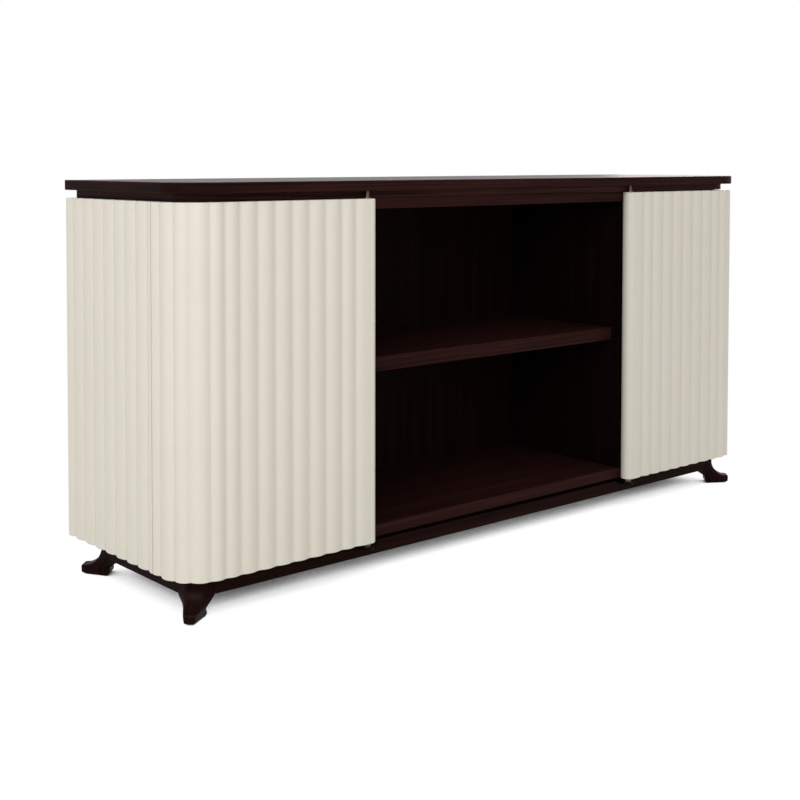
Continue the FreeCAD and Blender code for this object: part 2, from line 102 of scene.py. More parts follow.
# %% Node trees
class Nodes:
    """A node tree of a material or of the world, emptied and ready to fill."""

    def __init__(self, owner):
        owner.use_nodes = True
        self.tree = owner.node_tree
        self.tree.nodes.clear()

    def add(self, kind, settings=None, inputs=None, out=0):
        """Adds one node: its settings first, then the values or Wires of its sockets."""
        node = self.tree.nodes.new(kind)
        for name, value in (settings or {}).items():
            setattr(node, name, value)
        for name, value in (inputs or {}).items():
            if isinstance(value, Wire):
                self.tree.links.new(value.socket, node.inputs[name])
            else:
                node.inputs[name].default_value = value
        return Wire(self, node.outputs[out]) if node.outputs else None

    def noise(self, place, scale, detail=2.0):
        """Soft noise from 0 to 1 at a place, with so many bumps to a metre."""
        return self.add("ShaderNodeTexNoise", {}, {"Vector": place, "Scale": scale, "Detail": detail})

    def stretched(self, place, scale, shift=(0, 0, 0)):
        """A place multiplied by a scale along each axis, then moved."""
        return self.add("ShaderNodeMapping", {}, {"Vector": place, "Scale": scale, "Location": shift})

    def blend(self, share, first, second):
        """A colour between two colours."""
        settings = {"data_type": "RGBA"}
        return self.add("ShaderNodeMix", settings, {0: share, 6: first, 7: second}, out=2)

    def bump(self, height, strength, depth):
        """A normal tilted by a height from 0 to 1, where 1 is so many metres."""
        inputs = {"Height": height, "Strength": strength, "Distance": depth}
        return self.add("ShaderNodeBump", {}, inputs)


# %% [markdown]
# ## One shader for every finish
#
# Lacquer, stained wood, metal and nylon are all one Principled shader, and differ only in what its sockets
# get. So a finish is a function that gives those sockets back as a dictionary, and the rest is the same.

# %% Finishes
def finish(name, surface):
    """A material whose look is worked out by surface(nodes), as a dictionary of Principled sockets."""
    material = bpy.data.materials.new(name)
    nodes = Nodes(material)
    shader = nodes.add("ShaderNodeBsdfPrincipled", {}, surface(nodes))
    nodes.add("ShaderNodeOutputMaterial", {}, {"Surface": shader})
    print("finish", name, len(nodes.tree.nodes), "nodes")
    return material


# %% [markdown]
# ## Cream lacquer
#
# The doors and sides are sprayed with a satin cream lacquer. Up close, spray has a faint orange-peel
# ripple, its sheen varies a little from place to place, and the colour is never quite even. An image
# could hold that, but noise in the object's own space has no seams and wraps round the reeds.

# %% The lacquer
deep_cream, pale_cream = (0.69, 0.653, 0.574, 1), (0.76, 0.7225, 0.634, 1)
drift_scale, cloud_scale, peel_scale = 2.2, 19.0, 620.0
drift_share, cloud_share = 0.6, 0.4
peel_depth = 0.3 * mm


def cream_lacquer(nodes):
    """Slow drift and finer clouds give the tone, and the finest noise gives the ripple of the spray."""
    place = nodes.add("ShaderNodeTexCoord", out="Object")
    drift = nodes.noise(place, drift_scale)
    cloud = nodes.noise(place, cloud_scale, 3.0)
    peel = nodes.noise(place, peel_scale, 1.0)
    tone = (drift * drift_share + cloud * cloud_share).clipped()
    return {
        "Base Color": nodes.blend(tone, deep_cream, pale_cream),
        "Roughness": 0.27 + 0.1 * cloud,
        "Normal": nodes.bump(peel, 0.06, peel_depth),
        "Specular IOR Level": 0.4,
        "Coat Weight": 0.28,
        "Coat Roughness": 0.2,
    }


lacquer = finish("cream_lacquer", cream_lacquer)

# %% [markdown]
# ## Dark stained wood
#
# The top, bay and base are a fine straight-grained wood, stained almost black with a red-brown warmth and
# finished semi-gloss. The grain has to run along each board and round its edges, so every board carries a
# UV map named "grain" in metres: U along the fibres and V across them. Long thin noise makes the streaks,
# slow noise makes the bands, and the thinnest noise, cut off high, leaves the open pores.

# %% Wood finishes
streak_scale, band_scale, fleck_scale = (3.5, 300, 1), (0.9, 30, 1), (45, 1500, 1)
band_shift, fleck_shift = 3, 7
streak_pull, band_pull, mean_warmth = 2.2, 1.6, 0.42
pore_level, pore_edge, pore_share, pore_colour = 0.6, 9.0, 0.6, (0.004, 0.002, 0.002, 1)
grain_depth = 0.3 * mm


def stained_wood(name, dark, warm, gloss, polish, shift):
    """A finish of stained wood between a dark and a warm colour, with a roughness, and with a share of wax
    polish where it faces up. shift slides the grain, so that no two finishes have the same streaks."""

    def surface(nodes):
        grain = nodes.add("ShaderNodeUVMap", {"uv_map": "grain"})
        streak = nodes.noise(nodes.stretched(grain, streak_scale, (shift, 0, 0)), 1.0, 4.0)
        band = nodes.noise(nodes.stretched(grain, band_scale, (shift, band_shift, 0)), 1.0, 3.0)
        fleck = nodes.noise(nodes.stretched(grain, fleck_scale, (shift, fleck_shift, 0)), 1.0, 1.0)
        pore = ((fleck - pore_level) * pore_edge).clipped()
        warmth = ((streak - 0.5) * streak_pull + (band - 0.5) * band_pull + mean_warmth).clipped()
        wood = nodes.blend(warmth, (*dark, 1), (*warm, 1))
        facing = nodes.add("ShaderNodeNewGeometry", out="Normal")
        upward = nodes.add("ShaderNodeSeparateXYZ", {}, {0: facing}, out=2).clipped()
        return {
            "Base Color": nodes.blend(pore * pore_share, wood, pore_colour),
            "Roughness": gloss + 0.08 * streak + 0.14 * pore,
            "Normal": nodes.bump(streak * 0.25 - pore, 0.1, grain_depth),
            "Specular IOR Level": 0.015,
            "Coat Weight": upward * polish,
            "Coat Roughness": 0.22,
        }

    return finish(name, surface)


veneer = stained_wood("dark_veneer", (0.010, 0.0037, 0.0034), (0.040, 0.0132, 0.011), 0.32, 0.14, 0.0)
# The band's veneer is a lighter copy of the slab's veneer: painted light, which lifts the shade that falls in
# the recess under the slab.
band_veneer_painted_light = stained_wood("dark_veneer_painted_band_light", (0.021, 0.0083, 0.0073), (0.092, 0.034, 0.028), 0.32, 0.2, 6.2)
# The bay's dividers take a much darker copy of the veneer: painted shade, for the shade that falls on the
# walls inside the open bay.
bay_veneer_painted_shade = stained_wood("dark_veneer_painted_bay_shade", (0.003, 0.0014, 0.0012), (0.009, 0.0034, 0.0028), 0.4, 0.1, 2.7)
# The back of the bay takes a darker copy of the veneer: painted shade, for the shade that falls at the back
# of the open bay.
back_veneer_painted_shade = stained_wood("dark_veneer_painted_back_shade", (0.005, 0.0023, 0.002), (0.016, 0.006, 0.005), 0.4, 0.1, 7.7)
solid_wood = stained_wood("dark_solid_wood", (0.007, 0.0027, 0.0023), (0.024, 0.008, 0.0064), 0.36, 0.05, 4.1)
inner_wood = stained_wood("dark_inner_board", (0.006, 0.003, 0.0026), (0.016, 0.007, 0.0058), 0.5, 0.1, 9.3)

# %% [markdown]
# ## Metals, bush bronze, nylon and dowel wood
#
# The small fittings need little: a metal that is a shade uneven, with finer and coarser polish, reads as
# turned or plated steel. The fittings are solids of revolution, so object space does for all of them.

# %% Finishes of the fittings
ring_scale, stain_scale = (90, 90, 1400), 60.0
ring_depth, speck_depth = 0.2 * mm, 0.2 * mm


def metal(name, colour, shade, polish):
    """A finish of metal between a colour and a darker shade of it, with a roughness. Noise that is drawn
    thin along Z gives the rings of turning."""

    def surface(nodes):
        place = nodes.add("ShaderNodeTexCoord", out="Object")
        ring = nodes.noise(nodes.stretched(place, ring_scale), 1.0, 2.0)
        stain = nodes.noise(place, stain_scale, 3.0)
        dim = (*(shade * c for c in colour), 1)
        return {
            "Base Color": nodes.blend((ring * 0.5 + stain * 0.5).clipped(), dim, (*colour, 1)),
            "Metallic": 1.0,
            "Roughness": polish + 0.2 * ring,
            "Normal": nodes.bump(ring, 0.05, ring_depth),
        }

    return finish(name, surface)


def plain_stuff(name, dark, pale, scale, low, high):
    """A finish of a plain stuff between two colours and two roughnesses, with so many specks to a metre."""

    def surface(nodes):
        place = nodes.add("ShaderNodeTexCoord", out="Object")
        speck = nodes.noise(place, scale, 3.0)
        return {
            "Base Color": nodes.blend(speck, (*dark, 1), (*pale, 1)),
            "Roughness": low + (high - low) * speck,
            "Normal": nodes.bump(speck, 0.1, speck_depth),
        }

    return finish(name, surface)


steel = metal("steel", (0.56, 0.55, 0.54), 0.7, 0.22)
dull_steel = metal("dull_steel", (0.15, 0.102, 0.098), 0.6, 0.34)
nickel = metal("magnet_plate", (0.72, 0.70, 0.67), 0.8, 0.12)
bronze = metal("bush_bronze", (0.24, 0.18, 0.115), 0.6, 0.3)
black_steel = metal("black_steel", (0.006, 0.005, 0.005), 0.5, 0.5)
nylon = plain_stuff("washer_plastic", (0.004, 0.004, 0.004), (0.008, 0.008, 0.008), 400.0, 0.6, 0.75)
beech = plain_stuff("dowel_wood", (0.42, 0.26, 0.13), (0.55, 0.37, 0.2), 180.0, 0.5, 0.7)

# %% [markdown]
# ## From arrays to pieces
#
# A patch is one closed surface: its points, its four-sided and three-sided faces, and a grain coordinate
# for every face corner. A piece is one Blender object made of one or more patches. A closed surface has a
# positive volume when its faces point outwards, so each patch is measured and turned round if it has to be.

# %% Patches and pieces
def patch(points, quads, threes, quad_grain, three_grain):
    """A closed surface whose faces point outwards. Its volume is the sum of a . (b x c) / 6 over its
    triangles, and is below zero where they point inwards."""
    triangles = np.concatenate([quads[:, [0, 1, 2]], quads[:, [0, 2, 3]], threes])
    a, b, c = (points[triangles[:, i]] for i in range(3))
    volume = np.einsum("ij,ij->i", a, np.cross(b, c)).sum() / 6
    if volume < 0:
        quads, threes = quads[:, ::-1], threes[:, ::-1]
        quad_grain, three_grain = quad_grain[:, ::-1], three_grain[:, ::-1]
    return points, quads, threes, quad_grain, three_grain


def piece(name, patches, look, body, nodes):
    """One object from several patches, riding on a CAD body in the place of CAD nodes."""
    starts = np.cumsum([0] + [len(p[0]) for p in patches])
    points = np.concatenate([p[0] for p in patches])
    quads = np.concatenate([p[1] + start for p, start in zip(patches, starts)])
    threes = np.concatenate([p[2] + start for p, start in zip(patches, starts)])
    mesh = bpy.data.meshes.new(name)
    mesh.from_pydata(points, [], quads.tolist() + threes.tolist())
    grain = np.concatenate([p[part].reshape(-1, 2) for part in (3, 4) for p in patches])
    mesh.uv_layers.new(name="grain").data.foreach_set("uv", grain.astype(np.float32).ravel())
    mesh.polygons.foreach_set("use_smooth", np.ones(len(mesh.polygons), bool))
    mesh.materials.append(look)
    mesh.update()
    thing = bpy.data.objects.new(name, mesh)
    bpy.context.scene.collection.objects.link(thing)
    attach(thing, body)
    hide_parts(*nodes)
    print(name, len(points), "points", len(quads) + len(threes), "faces")


# %% [markdown]
# ## Rings and the faces between them
#
# Boards, doors, feet and pins are all stacks of rings, with the same number of points in each. Faces with
# four sides join a ring to the next one. Blender could bridge edge loops, but counting the points through
# is exact, and gives the grain of every face at the same time.

# %% Rings
def ring_faces(levels, count, closed=False):
    """Faces between each ring and the next, by point numbers: ring times count, plus place in the ring.
    In a closed tube the last ring joins the first."""
    i = np.arange(count)
    j = (i + 1) % count
    ring = np.arange(levels if closed else levels - 1)[:, None]
    after = (ring + 1) % levels
    faces = [ring * count + i, ring * count + j, after * count + j, after * count + i]
    return np.stack(faces, 2).reshape(-1, 4)


def ring_grain(run, heights):
    """Distance along the ring and height, at the corners of the same faces."""
    after = np.roll(run, -1)
    u = np.stack([run, after, after, run], 1)
    v = np.stack([heights[:-1], heights[:-1], heights[1:], heights[1:]], 1)
    shape = (len(v), len(u), 4)
    both = [np.broadcast_to(u[None], shape), np.broadcast_to(v[:, None], shape)]
    return np.stack(both, 3).reshape(-1, 4, 2)


def along(line):
    """Distance along a line of points, from its first point."""
    return np.concatenate([[0], np.cumsum(np.linalg.norm(np.diff(line, axis=0), axis=1))])


# %% [markdown]
# ## Upright panels with soft edges
#
# Doors, boards, rails and strips are all upright: one outline in plan, carried up, with every edge eased.
# The outline is given as two lines that start and end together, such as the face and the back of a door.
# Paired points of the two lines close the top and the bottom, whatever the outline's shape. A bevel
# modifier could ease the edges, but it stumbles over the sharp valleys between reeds.

# %% Soft upright panels
support = 0.7 * mm
ease_steps = np.linspace(0, math.pi / 2, 5)


def soft_panel(face, back, z0, z1, ease, fibres):
    """The outline face + back carried from z0 to z1. A ring at the angle a of the easing lies inside the
    outline by ease * (1 - sin a), at the height ease * (1 - cos a) from the end. One more ring on either
    side of the easing keeps the flat faces flat. The fibres run along x, y or z."""
    ring = np.concatenate([face, back[-2:0:-1]])
    x, y = ring.T
    if (x * np.roll(y, -1) - y * np.roll(x, -1)).sum() < 0:
        face, back = back, face
        ring = np.concatenate([face, back[-2:0:-1]])
    tangent = np.roll(ring, -1, 0) - np.roll(ring, 1, 0)
    normal = np.stack([tangent[:, 1], -tangent[:, 0]], 1)
    normal /= np.linalg.norm(normal, axis=1)[:, None]
    inset = ease * (1 - np.sin(ease_steps))
    lift = ease * (1 - np.cos(ease_steps))
    insets = np.concatenate([[ease + support], inset, [0, 0], inset[::-1], [ease + support]])
    low = np.concatenate([[0], lift, [ease + support]])
    heights = np.concatenate([z0 + low, z1 - low[::-1]])
    plan = ring[None] - insets[:, None, None] * normal[None]
    levels, count = len(heights), len(ring)
    z = np.broadcast_to(heights[:, None, None], (levels, count, 1))
    points = np.concatenate([plan, z], 2).reshape(-1, 3)

    half = len(face)
    run = np.concatenate([along(face), along(back)[-2:0:-1] * along(face)[-1] / along(back)[-1]])
    side_grain = ring_grain(run, heights)
    if fibres == "z":
        side_grain = side_grain[:, :, ::-1]
    n = np.arange(1, half - 2)
    lid = np.stack([n, n + 1, count - n - 1, count - n], 1)
    ends = np.array([[0, 1, count - 1], [half - 2, half - 1, half]])
    top = (levels - 1) * count
    quads = np.concatenate([ring_faces(levels, count), lid + top, lid[:, ::-1]])
    threes = np.concatenate([ends + top, ends[:, ::-1]])
    swap = [1, 0] if fibres == "y" else [0, 1]
    lid_grain = points[quads[-2 * len(lid):]][:, :, swap]
    return patch(points, quads, threes, np.concatenate([side_grain, lid_grain]), points[threes][:, :, swap])


print("a panel has", 2 * len(ease_steps) + 4, "rings")

# %% [markdown]
# ## Outlines of boards
#
# A board's outline is a rectangle whose corners are arcs, small ones where an edge is only sanded and a
# large one where the slab follows the doors round the corner. A short support step beside each arc keeps
# the shading of the straight sides straight.

# %% Board outlines
def arc(centre, radius, start, end, count=7):
    """Points on a circle in plan, from one angle to another in degrees."""
    angle = np.radians(np.linspace(start, end, count))
    return np.stack([centre[0] + radius * np.cos(angle), centre[1] + radius * np.sin(angle)], 1)


def board_lines(x0, x1, y0, y1, front, back):
    """A rectangle in plan with rounded corners, split into its front line and its back line."""
    middle = [(x0, (y0 + y1) / 2)], [(x1, (y0 + y1) / 2)]
    near = front + support
    far = back + support
    face = [
        middle[0], [(x0, y0 + near)], arc((x0 + front, y0 + front), front, 180, 270), [(x0 + near, y0)],
        [(x1 - near, y0)], arc((x1 - front, y0 + front), front, 270, 360), [(x1, y0 + near)], middle[1],
    ]
    rear = [
        middle[0], [(x0, y1 - far)], arc((x0 + back, y1 - back), back, 180, 90), [(x0 + far, y1)],
        [(x1 - far, y1)], arc((x1 - back, y1 - back), back, 90, 0), [(x1, y1 - far)], middle[1],
    ]
    return np.concatenate(face), np.concatenate(rear)


# %% [markdown]
# ## The reeded skin
#
# The doors' faces are rows of convex reeds that run round the corner without a break. A reed is a circular
# arc between two valleys: over a half width w with a rise d, its radius is (w * w + d * d) / (2 * d). The
# paint fills each valley, more on the front than at the sides, so the heights are smoothed along the skin
# by a bell curve. At the sides a fine line stays in each valley, where the cutter's two passes meet.

# %% Reeds
reed_depth = 6.0 * mm
skin_step = 1.0 * mm
sharp_fill, soft_fill = 1.2 * mm, 3.6 * mm
line_width, line_depth = 1.4 * mm, 2.0 * mm


def reed_heights(stations, valleys):
    """Height of the skin over the line of the valleys, at stations along it."""
    n = np.clip(np.searchsorted(valleys, stations, side="right") - 1, 0, len(valleys) - 2)
    half = (valleys[n + 1] - valleys[n]) / 2
    off = stations - valleys[n] - half
    radius = (half**2 + reed_depth**2) / (2 * reed_depth)
    return np.sqrt(np.maximum(radius**2 - off**2, 0)) - radius + reed_depth


def filled(heights, fill):
    """Heights smoothed along the skin by a bell curve that ends at three times its width, as paint fills
    the valleys. Past the ends the heights go on level."""
    count = int(3 * fill / skin_step)
    bell = np.exp(-0.5 * (np.arange(-count, count + 1) * skin_step / fill) ** 2)
    return np.convolve(np.pad(heights, count, mode="edge"), bell / bell.sum(), mode="valid")


def valley_lines(stations, valleys):
    """Depth of the fine line along each valley: a bell curve of the distance to the nearest valley."""
    away = np.abs(stations[:, None] - valleys).min(1)
    return line_depth * np.exp(-((away / line_width) ** 2))


def stations_between(start, end):
    """Places along the skin, about one skin step apart."""
    return np.linspace(start, end, int(round((end - start) / skin_step)) + 1)


print("reeds", round(reed_depth / mm, 1), "mm deep, with stations", round(skin_step / mm, 1), "mm apart")

# %% [markdown]
# ## The doors
#
# Each door is one thick panel. Its inner edge is a bullnose round the pivot pin, then a plain flat, then
# reeds along the front, round the corner and back along the side to the seam with the fixed side. The left
# door is the right one mirrored in X. The reeds' widths differ a little, so they are shares of one width,
# and half a reed is left over, so that the seam falls on a crest.

# %% Doors
door_low, door_high = (np.array(end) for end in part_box("right_door"))
door_thick = 31.0 * mm
corner_radius = 70.0 * mm
plain_edge = 36.5 * mm
panel_ease = 1.8 * mm
joint_place, joint_width, joint_depth = 3.0 * mm, 1.1 * mm, 0.7 * mm
reed_shares = np.array([0.87, 1, 1, 1, 1, 1, 1, 0.83, 0.77, 0.95, 0.8, 1.03])
seam_share = 0.5
bullnose = door_thick / 2
nose_gap, nose_points = 2, 16
pivot = np.array([door_low[0] + bullnose, door_low[1] + bullnose])
corner = np.array([door_high[0] - corner_radius, door_low[1] + corner_radius])
valley_radius = corner_radius - reed_depth
front_run = corner[0] - pivot[0] - plain_edge
corner_run = valley_radius * math.pi / 2
door_run = front_run + corner_run + door_high[1] - corner[1]
reed_width = door_run / (reed_shares.sum() + seam_share)
past_seam = door_run + seam_share * reed_width
door_valleys = np.concatenate([[-plain_edge, 0], np.cumsum(reed_shares) * reed_width, [past_seam]])


def door_skin(stations, out):
    """Points at a distance out from the line of the valleys: straight along the front, then a quarter turn
    about the corner's centre, then straight back along the side."""
    turn = np.clip((stations - front_run) / valley_radius, 0, math.pi / 2)
    before = np.minimum(stations - front_run, 0)
    after = np.maximum(stations - front_run - corner_run, 0)
    reach = valley_radius + out
    x = corner[0] + before + reach * np.sin(turn)
    y = corner[1] + after - reach * np.cos(turn)
    return np.stack([x, y], 1)


def door_lines():
    """The face line and the back line of the right door, from the tip of the bullnose to the seam. A faint
    groove with the section of a bell curve shows where the bullnose is glued on."""
    stations = stations_between(-plain_edge, door_run - panel_ease - support)
    carved = np.where(stations < -plain_edge / 2, reed_depth, reed_heights(stations, door_valleys))
    turned_share = np.clip((stations - front_run) / corner_run, 0, 1)
    heights = filled(carved, soft_fill) * (1 - turned_share) + filled(carved, sharp_fill) * turned_share
    heights = heights - turned_share * valley_lines(stations, door_valleys)
    heights = heights - joint_depth * np.exp(-(((stations + plain_edge - joint_place) / joint_width) ** 2))
    seam_y = door_high[1]
    x0, x1 = door_high[0] - door_thick, door_high[0]
    middle = [((x0 + x1) / 2, seam_y)]
    eased_y = seam_y - panel_ease
    near = panel_ease + support
    face = [
        arc(pivot, bullnose, 180, 270 - nose_gap, nose_points), door_skin(stations, heights),
        arc((x1 - panel_ease, eased_y), panel_ease, 0, 90), [(x1 - near, seam_y)], middle,
    ]
    inside = door_skin(stations, reed_depth - door_thick + 0 * stations)
    back = [
        arc(pivot, bullnose, 180, 90 + nose_gap, nose_points), inside,
        arc((x0 + panel_ease, eased_y), panel_ease, 180, 90), [(x0 + near, seam_y)], middle,
    ]
    return np.concatenate(face), np.concatenate(back)


mirror = np.array([-1.0, 1.0])
face, back = door_lines()
for side, flip in (("right", 1), ("left", mirror)):
    panel = soft_panel(face * flip, back * flip, door_low[2], door_high[2], panel_ease, "z")
    piece(side + "_reeded_door", [panel], lacquer, side + "_door", [side + "_door"])
print("reed width", round(reed_width / mm, 2), "mm")

# %% [markdown]
# ## The fixed reeded sides
#
# Behind the seam the reeds go on to the back of the case. The side begins and ends on the crest of a reed,
# so that the seam falls in the middle of one and is hard to see.

# %% Reeded sides
side_low, side_high = (np.array(end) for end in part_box("right_reeded_side"))
side_reeds = 8


def side_lines():
    """The face line and the back line of the right side, from its front end to its back end. The valleys
    lie half a reed from the ends and then one reed apart."""
    y0, y1 = side_low[1], side_high[1]
    x0, x1 = side_low[0], side_high[0]
    near = panel_ease + support
    stations = stations_between(y0 + near, y1 - near)
    pitch = (y1 - y0) / side_reeds
    valleys = y0 + pitch * (np.arange(side_reeds + 2) - 0.5)
    heights = filled(reed_heights(stations, valleys), sharp_fill) - valley_lines(stations, valleys)
    ends = [((x0 + x1) / 2, y0)], [((x0 + x1) / 2, y1)]
    face = [
        ends[0], [(x1 - near, y0)], arc((x1 - panel_ease, y0 + panel_ease), panel_ease, -90, 0),
        np.stack([x1 - reed_depth + heights, stations], 1),
        arc((x1 - panel_ease, y1 - panel_ease), panel_ease, 0, 90), [(x1 - near, y1)], ends[1],
    ]
    back = [
        ends[0], [(x0 + near, y0)], arc((x0 + panel_ease, y0 + panel_ease), panel_ease, 270, 180),
        np.stack([x0 + 0 * stations, stations], 1),
        arc((x0 + panel_ease, y1 - panel_ease), panel_ease, 180, 90), [(x0 + near, y1)], ends[1],
    ]
    return np.concatenate(face), np.concatenate(back)


face, back = side_lines()
for side, flip in (("right", 1), ("left", mirror)):
    panel = soft_panel(face * flip, back * flip, side_low[2], side_high[2], panel_ease, "z")
    piece(side + "_reeded_panel", [panel], lacquer, "carcass", [side + "_reeded_side"])

# %% [markdown]
# ## Boards of the top and the case
#
# The slab, the recessed band under it, the fascia, the floor panel, the dividers, backs and shelves are
# plain boards. Each takes its place from its CAD node's box. The front corners of the slab, the band and
# the floor panel are rounded, because the doors turn that corner with them. The band hangs a little lower
# than its box, over half of the gap above the doors, where the real one shows hardly any light.

# %% Boards
fine_ease, board_ease, slab_ease = 0.6 * mm, 1.0 * mm, 1.5 * mm
band_hang = 1.5 * mm


def board(node, look, ease, fibres, turns_corner=False, hang=0.0):
    """A board in the box of one CAD node. If it turns the corner with the doors, its two front corners are
    arcs about the centre of the doors' corner. It may hang a little below the box."""
    low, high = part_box(node)
    front = corner_radius + door_low[1] - low.y if turns_corner else ease
    lines = board_lines(low.x, high.x, low.y, high.y, front, ease)
    panel = soft_panel(*lines, low.z - hang, high.z, ease, fibres)
    piece(node + "_board", [panel], look, "carcass", [node])


board("top_slab", veneer, slab_ease, "x", turns_corner=True)
# The band takes the lighter copy of the veneer, painted light against the shade in its recess.
board("sub_top", band_veneer_painted_light, fine_ease, "x", turns_corner=True, hang=band_hang)
board("floor_panel", veneer, board_ease, "x", turns_corner=True)
board("centre_fascia", veneer, fine_ease, "x")
board("bay_shelf", veneer, board_ease, "x")
# The back of the bay takes a darker copy of the veneer, painted shade.
board("centre_back_panel", back_veneer_painted_shade, fine_ease, "z")
for side in ("left", "right"):
    # The dividers take the darkest copy of the veneer, painted shade of the bay's walls.
    board(side + "_divider", bay_veneer_painted_shade, board_ease, "z")
    board(side + "_carcass_side", inner_wood, board_ease, "z")
    board(side + "_back_panel", inner_wood, fine_ease, "z")
    board(side + "_cupboard_shelf", inner_wood, board_ease, "x")

# %% [markdown]
# ## The base rails
#
# The rails run between the feet's blocks. Their visible faces are planed with a small eased edge. The top
# of each rail stays a hair low, under the pivot plates that are let into the front one, so that the two
# never share one plane.

# %% Rails
hair = 0.3 * mm


def rail(node, fibres):
    """A rail in the box of one CAD node, a hair lower than it."""
    low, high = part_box(node)
    lines = board_lines(low.x, high.x, low.y, high.y, board_ease, board_ease)
    panel = soft_panel(*lines, low.z, high.z - hair, board_ease, fibres)
    piece(node + "_bar", [panel], solid_wood, "carcass", [node])


for node in ("front_rail", "back_rail"):
    rail(node, "x")
for node in ("left_rail", "right_rail"):
    rail(node, "y")

# %% [markdown]
# ## Spacer strips, cleats and packers
#
# Four thin strips over the rails hold the case up and leave the dark groove. Upright cleats hold the back
# panels, and a packer closes the slit over each reeded side. All are small sawn strips, so one function
# makes a set of them from their boxes in plan.

# %% Strips
def strips(node, boxes, fibres):
    """Several small strips of one node, from their boxes as (x0, x1, y0, y1)."""
    low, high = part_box(node)
    outlines = [board_lines(*box, fine_ease, fine_ease) for box in boxes]
    panels = [soft_panel(*lines, low.z, high.z, fine_ease, fibres) for lines in outlines]
    piece(node + "_set", panels, inner_wood, "carcass", [node])


strip_low, strip_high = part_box("spacer_strips")
strip_width = 40.0 * mm
x0, y0, x1, y1 = strip_low.x, strip_low.y, strip_high.x, strip_high.y
spacer_boxes = [(x0, x1, y0, y0 + strip_width), (x0, x1, y1 - strip_width, y1)]
spacer_boxes += [(x, x + strip_width, y0 + strip_width, y1 - strip_width) for x in (x0, x1 - strip_width)]
strips("spacer_strips", spacer_boxes, "x")

cleat_low, cleat_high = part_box("back_cleats")
cleat = 15.0 * mm
bay_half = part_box("right_divider")[0].x
divider_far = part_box("right_divider")[1].x
right_cleats = [bay_half - cleat, divider_far, cleat_high.x - cleat]
cleat_starts = right_cleats + [-x - cleat for x in right_cleats]
strips("back_cleats", [(x, x + cleat, cleat_low.y, cleat_high.y) for x in cleat_starts], "z")

packer_low, packer_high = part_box("side_packers")
packer_spans = [(side_low[0], packer_high.x), (packer_low.x, -side_low[0])]
strips("side_packers", [(x0, x1, packer_low.y, packer_high.y) for x0, x1 in packer_spans], "y")

# %% [markdown]
# ## The profile of a carved foot
#
# A foot starts as a five-cornered block between two rails, its outer corner cut to a flat facet. Below the
# rails the facet sweeps out in a hollow curve to a blunt toe, and the block tapers in to a rounded heel.
# Sculpting could give that, but a carver works from a side profile, and so does this: how far each level
# reaches to the front and to the back along the diagonal, measured from the facet's middle.

# %% Levels of a foot
rail_low, rail_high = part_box("front_rail")
rail_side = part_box("right_rail")[1].x
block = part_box("front_left_foot")[1].x + rail_side
slant = math.sqrt(0.5)
facet = 22 * mm
toe_reach, toe_height, tip_half = 41 * mm, 19 * mm, 11 * mm
heel_reach, heel_half, heel_height = 16 * mm, 21 * mm, 10.5 * mm
sole, toe_top, toe_edge = 0.66 * toe_reach, 0.7 * toe_reach, 0.9 * toe_reach
under_lift, upper_round = 0.3 * toe_height, 0.2 * toe_height
sweep_z, sweep_bow = rail_low.z + 13 * mm, 0.145
taper_z, heel_share = 15.5 * mm, 0.58
shaft_z = [sweep_z + support, sweep_z + 6 * mm, rail_high.z - 1.2 * mm, rail_high.z]
block_back = (facet - 2 * block) * slant
quarter_points, sweep_points = 7, 16


def foot_levels():
    """Front reach, back reach and height of each level. The toe's underside and its upper edge are quarter
    ellipses, its top is flat, and the sweep is a parabola that is hollow by a share of its chord. The heel
    is a quarter ellipse too, and above it the back runs straight out to the block."""
    turn = np.linspace(0, math.pi / 2, quarter_points)
    under = np.stack([sole + (toe_reach - sole) * np.sin(turn), under_lift * (1 - np.cos(turn))], 1)
    edge_reach = toe_edge + (toe_reach - toe_edge) * np.cos(turn)
    edge = np.stack([edge_reach, toe_height - upper_round * (1 - np.sin(turn))], 1)
    chord = np.array([-toe_top, sweep_z - toe_height])
    inward = np.array([-chord[1], chord[0]]) * sweep_bow
    bow = np.linspace(-1, 1, sweep_points)[:, None]
    sweep = np.array([toe_top, toe_height]) + chord * (bow + 1) / 2 + inward * (1 - bow**2)
    shaft = np.stack([np.zeros(len(shaft_z)), shaft_z], 1)
    front, height = np.concatenate([under, edge, sweep, shaft]).T
    rounding = np.sqrt(np.clip(1 - (1 - height / heel_height) ** 2, 0, 1))
    heel = -heel_reach * np.where(height < heel_height, heel_share + (1 - heel_share) * rounding, 1)
    taper = np.interp(height, [taper_z, rail_low.z], [-heel_reach, block_back])
    return front, np.where(height > taper_z, taper, heel), height


print("a foot has", len(foot_levels()[2]), "levels and reaches", round(toe_reach / mm, 1), "mm out")

# %% [markdown]
# ## The sections of a foot
#
# Seen from above, every level of the foot has six corners: two in front, two at the sides and two behind.
# The toe is a wedge in plan that widens to the heel, and near the floor the foot draws in, most at the toe's
# corners, which are bevelled. Each corner is then drawn as a parabola, because a carver breaks every edge.

# %% Sections of a foot
flare_z, flare_shares = [0, 3 * mm, heel_height], [0.84, 0.94, 1.0]
bevel_z, bevel_shares = [0, 5 * mm, heel_height], [0.66, 0.92, 1.0]
toe_top_half, waist_half = tip_half + 3 * mm, 0.95 * heel_half
back_z = [heel_height, taper_z, 20 * mm, rail_low.z]
back_halves = [heel_half, 0.75 * heel_half, 7 * mm, 2 * mm]
front_cut, back_cut, cut_limit = 2.2 * mm, 3.0 * mm, 0.42
bend_points = 6


